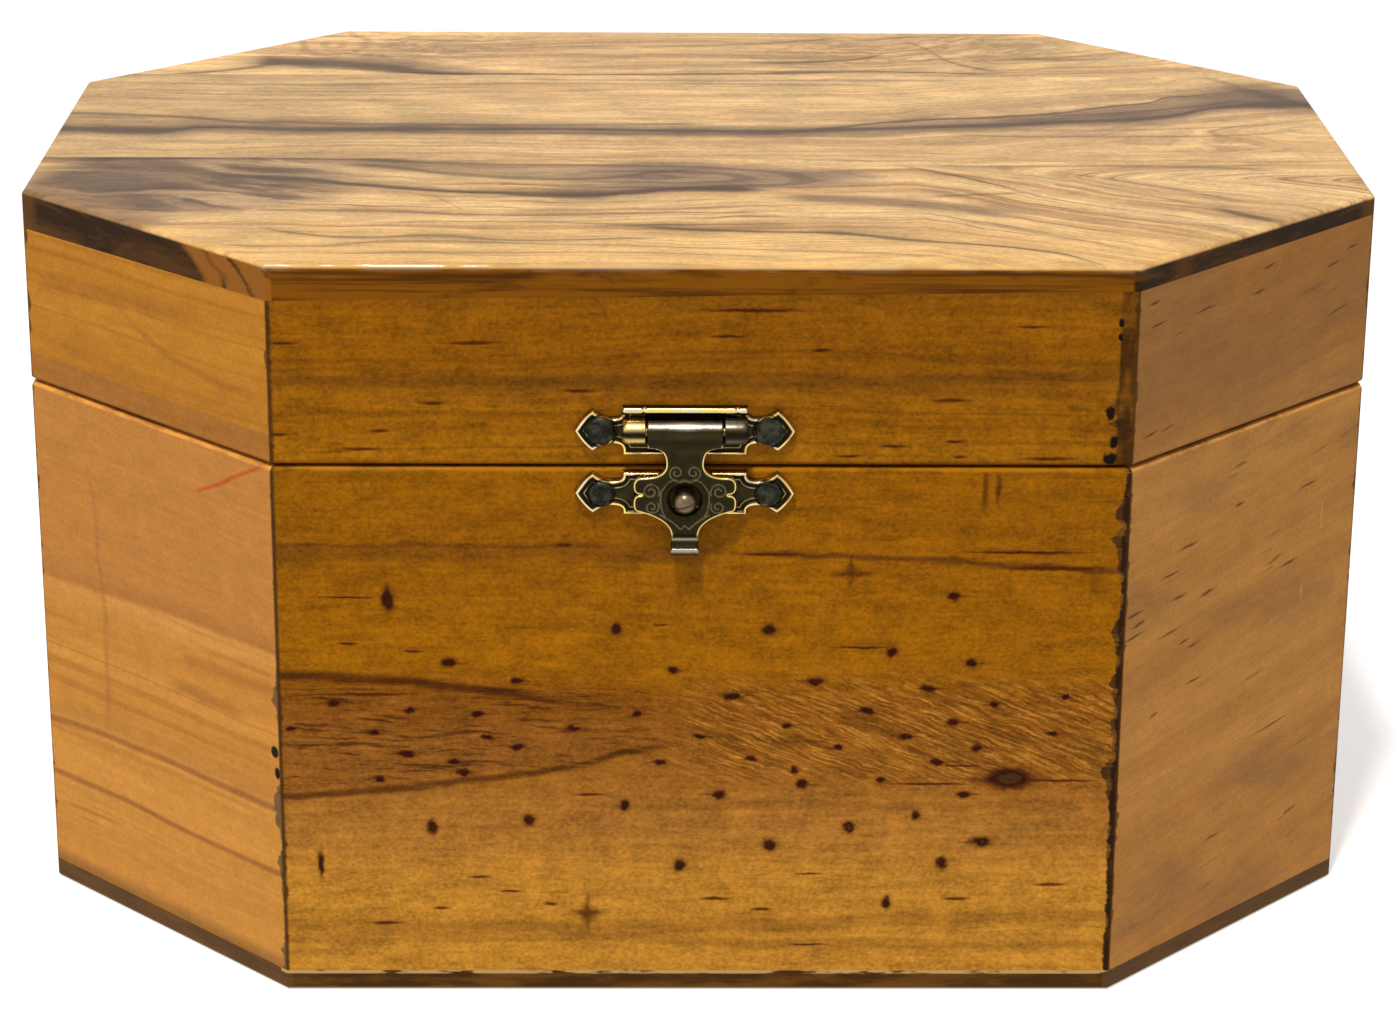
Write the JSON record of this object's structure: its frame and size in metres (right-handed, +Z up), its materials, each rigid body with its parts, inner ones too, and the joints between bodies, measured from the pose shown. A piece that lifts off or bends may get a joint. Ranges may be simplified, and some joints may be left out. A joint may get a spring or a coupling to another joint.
{
  "type": "etrog box",
  "caption": "Long octagonal wooden etrog box with a hinged lid, an olive wood top and a brass swing hasp that closes over a knob.",
  "frame": {"origin": "middle of the base board's underside", "axes": "+X along the box towards its right end, +Y from the latch at the front to the hinges at the back, +Z up"},
  "size_m": [0.175, 0.1379, 0.0972],
  "materials": {
    "amber_pine": "gloss varnish",
    "honey_pine": "gloss varnish",
    "base_wood": "dark stain",
    "olive_wood": "satin varnish",
    "latch_brass": "antiqued",
    "hinge_brass": "satin",
    "nail_iron": "blued"
  },
  "bodies": {
    "box": {"base_board": "base_wood", "body_front": "amber_pine", "body_back": "amber_pine", "body_left_end": "honey_pine", "body_right_end": "honey_pine", "body_corner_front_left": "honey_pine", "body_corner_front_right": "honey_pine", "body_corner_back_left": "honey_pine", "body_corner_back_right": "honey_pine", "keeper_plate": "latch_brass", "keeper_knob": "latch_brass", "keeper_nails": "nail_iron", "hinge_left_body_leaf": "hinge_brass", "hinge_right_body_leaf": "hinge_brass", "hinge_left_pin": "hinge_brass", "hinge_right_pin": "hinge_brass", "hinge_body_nails": "nail_iron"},
    "lid": {"lid_front": "amber_pine", "lid_back": "amber_pine", "lid_left_end": "honey_pine", "lid_right_end": "honey_pine", "lid_corner_front_left": "honey_pine", "lid_corner_front_right": "honey_pine", "lid_corner_back_left": "honey_pine", "lid_corner_back_right": "honey_pine", "top_front": "olive_wood", "top_middle": "olive_wood", "top_back": "olive_wood", "hasp_plate": "latch_brass", "hasp_pin": "latch_brass", "hasp_nails": "nail_iron", "hinge_left_lid_leaf": "hinge_brass", "hinge_right_lid_leaf": "hinge_brass", "hinge_lid_nails": "nail_iron"},
    "hasp": {"hasp_leaf": "latch_brass"}
  },
  "joints": [
    {"name": "lid_hinge", "type": "hinge", "parent": "box", "child": "lid", "pos_m": [0, 0.067, 0.0715], "axis": [-1, 0, 0], "range_deg": [0, 180]},
    {"name": "hasp_hinge", "type": "hinge", "parent": "lid", "child": "hasp", "pos_m": [-0.0021, -0.06685, 0.07662], "axis": [-1, 0, 0], "range_deg": [0, 170]}
  ]
}
